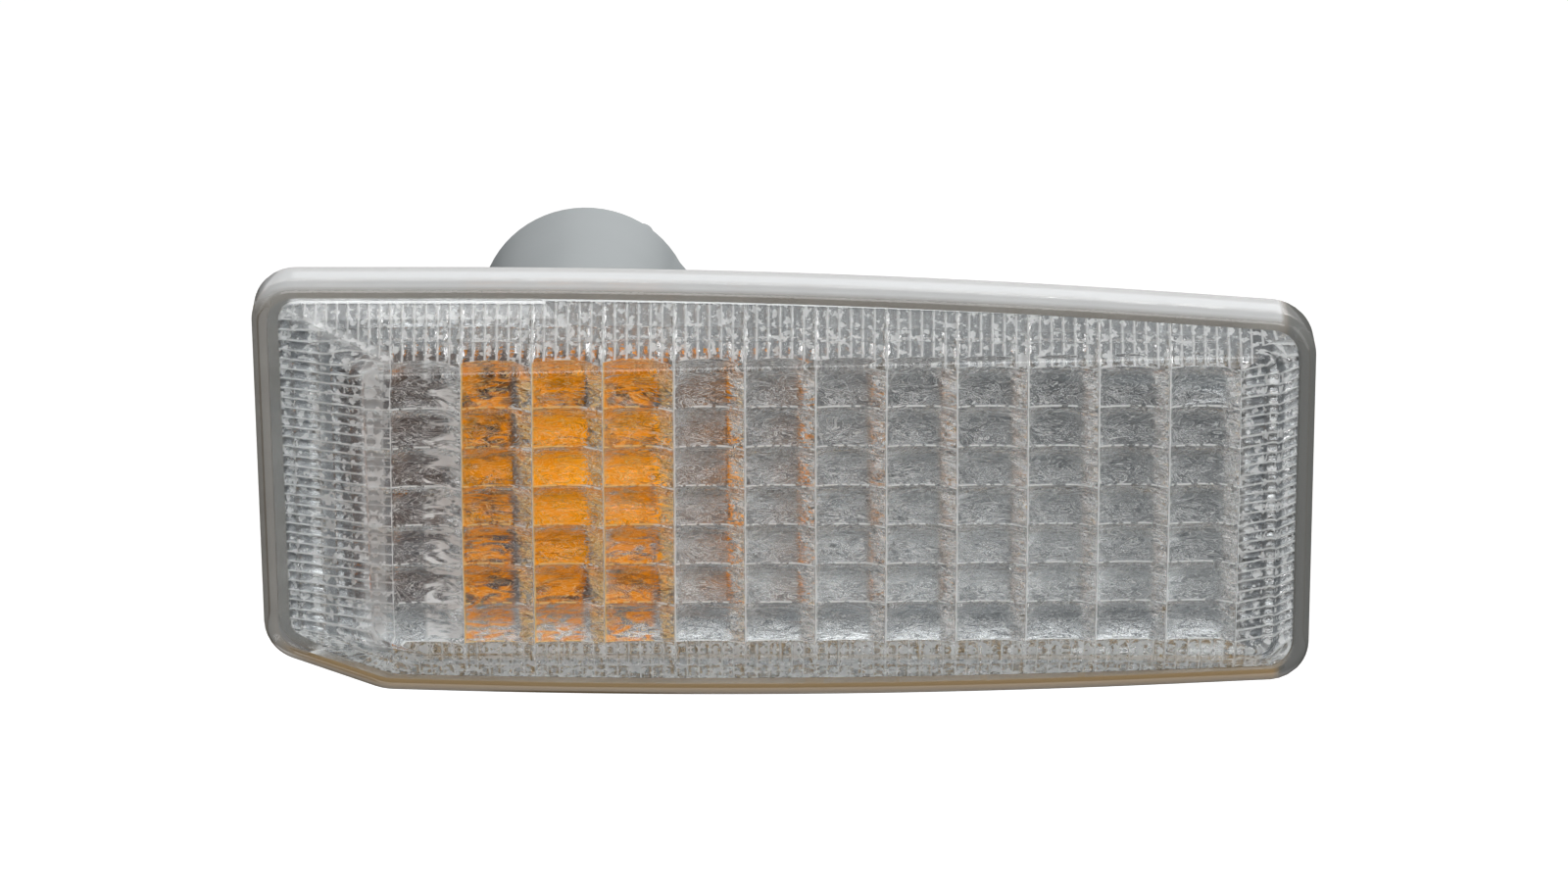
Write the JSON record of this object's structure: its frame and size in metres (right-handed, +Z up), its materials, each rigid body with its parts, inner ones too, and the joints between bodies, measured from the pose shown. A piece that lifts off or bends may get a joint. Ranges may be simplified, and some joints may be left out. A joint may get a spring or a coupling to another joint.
{
  "type": "vehicle side indicator lamp",
  "caption": "Side indicator lamp with a clear prismatic lens, light grey moulded housing and an amber wedge bulb in a twist-in holder with a connector.",
  "frame": {"origin": "in the plane where the gasket's rear face seats on the panel, at the middle of the lamp's length and close to the middle of its height", "axes": "+X along the lamp from its taller end to its narrower end, +Y backwards into the panel along the socket's axis, +Z up"},
  "size_m": [0.0979, 0.0758, 0.0408],
  "materials": {
    "lens": "clear, polished outside, prisms inside",
    "housing": "light blue-grey, fine satin",
    "gasket": "taupe foam",
    "spring": "bright spring steel",
    "holder": "grey, fine satin",
    "seal": "black rubber",
    "contact": "bright brass strip",
    "bulb": "amber coated glass",
    "filament": "dull grey wire",
    "lead": "bright nickel wire"
  },
  "bodies": {
    "lamp": {"lens": "lens", "housing": "housing", "rim_gasket": "gasket", "retaining_spring": "spring"},
    "holder": {"bulb_holder": "holder", "holder_seal": "seal", "contact_left": "contact", "contact_right": "contact", "bulb_glass": "bulb", "bulb_filament": "filament", "bulb_lead_left": "lead", "bulb_lead_right": "lead"}
  },
  "joints": [
    {"name": "holder_twist", "type": "hinge", "parent": "lamp", "child": "holder", "pos_m": [-0.0197, 0.051, -0.0012], "axis": [0, 1, 0], "range_deg": [0, 50]}
  ]
}
